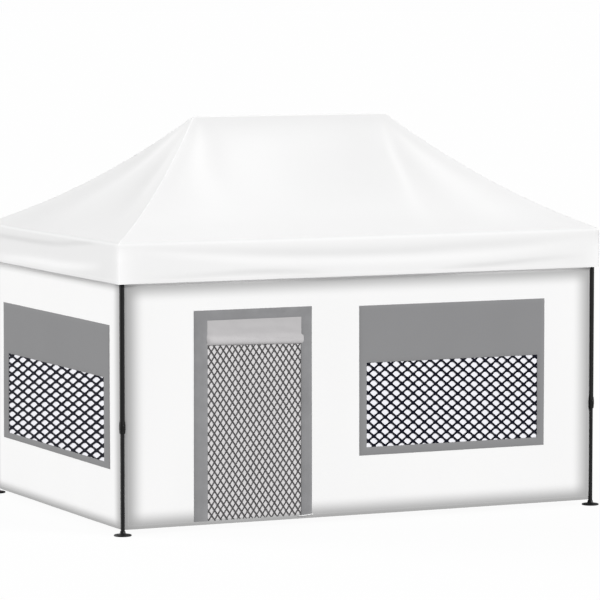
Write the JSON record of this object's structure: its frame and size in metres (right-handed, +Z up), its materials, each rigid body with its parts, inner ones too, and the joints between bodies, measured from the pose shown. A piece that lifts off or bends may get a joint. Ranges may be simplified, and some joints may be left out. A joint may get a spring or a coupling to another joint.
{
  "type": "marquee tent",
  "caption": "Folding marquee tent with a hipped fabric roof, deep valance, four fabric walls, net windows, a net doorway and telescopic steel legs.",
  "frame": {"origin": "on the ground, under the middle of the tent", "axes": "+X along the long front wall towards its window end, +Y from the front wall to the back wall, +Z up"},
  "size_m": [4.617, 3.117, 3.43],
  "materials": {
    "white_polyester": "woven, matt, coated inside",
    "grey_polyester": "woven, matt",
    "light_grey_strip": "woven, matt",
    "black_netting": "diamond netting",
    "black_powder_coat": "satin powder coat",
    "black_nylon": "moulded, matt"
  },
  "bodies": {
    "tent": {"roof_front": "white_polyester", "roof_back": "white_polyester", "roof_left": "white_polyester", "roof_right": "white_polyester", "valance": "white_polyester", "front_wall": "white_polyester", "back_wall": "white_polyester", "left_wall": "white_polyester", "right_wall": "white_polyester", "door_surround": "grey_polyester", "door_strip": "light_grey_strip", "door_net": "black_netting", "front_window_surround": "grey_polyester", "front_window_net": "black_netting", "back_window_surround": "grey_polyester", "back_window_net": "black_netting", "left_window_surround": "grey_polyester", "left_window_net": "black_netting", "right_window_surround": "grey_polyester", "right_window_net": "black_netting", "upper_leg_front_left": "black_powder_coat", "upper_leg_front_right": "black_powder_coat", "upper_leg_back_left": "black_powder_coat", "upper_leg_back_right": "black_powder_coat", "top_bracket_front_left": "black_nylon", "top_bracket_front_right": "black_nylon", "top_bracket_back_left": "black_nylon", "top_bracket_back_right": "black_nylon", "slide_bracket_front_left": "black_nylon", "slide_bracket_front_right": "black_nylon", "slide_bracket_back_left": "black_nylon", "slide_bracket_back_right": "black_nylon", "front_truss": "black_powder_coat", "back_truss": "black_powder_coat", "left_truss": "black_powder_coat", "right_truss": "black_powder_coat", "left_roof_truss": "black_powder_coat", "right_roof_truss": "black_powder_coat", "ridge_truss": "black_powder_coat", "mast_left": "black_powder_coat", "mast_right": "black_powder_coat"},
    "front_left_foot": {"lower_leg_front_left": "black_powder_coat"},
    "front_right_foot": {"lower_leg_front_right": "black_powder_coat"},
    "back_left_foot": {"lower_leg_back_left": "black_powder_coat"},
    "back_right_foot": {"lower_leg_back_right": "black_powder_coat"}
  },
  "joints": [
    {"name": "front_left_leg_height", "type": "slide", "parent": "tent", "child": "front_left_foot", "axis": [0, 0, 1], "range_m": [0, 0.7], "deforming": ["front_wall", "back_wall", "left_wall", "right_wall", "door_surround", "door_strip", "door_net", "front_window_surround", "front_window_net", "back_window_surround", "back_window_net", "left_window_surround", "left_window_net", "right_window_surround", "right_window_net"]},
    {"name": "front_right_leg_height", "type": "slide", "parent": "tent", "child": "front_right_foot", "axis": [0, 0, 1], "range_m": [0, 0.7]},
    {"name": "back_left_leg_height", "type": "slide", "parent": "tent", "child": "back_left_foot", "axis": [0, 0, 1], "range_m": [0, 0.7]},
    {"name": "back_right_leg_height", "type": "slide", "parent": "tent", "child": "back_right_foot", "axis": [0, 0, 1], "range_m": [0, 0.7]}
  ],
  "couplings": [
    {"joint": "front_right_leg_height", "follows": "front_left_leg_height", "ratio": 1},
    {"joint": "back_left_leg_height", "follows": "front_left_leg_height", "ratio": 1},
    {"joint": "back_right_leg_height", "follows": "front_left_leg_height", "ratio": 1}
  ]
}
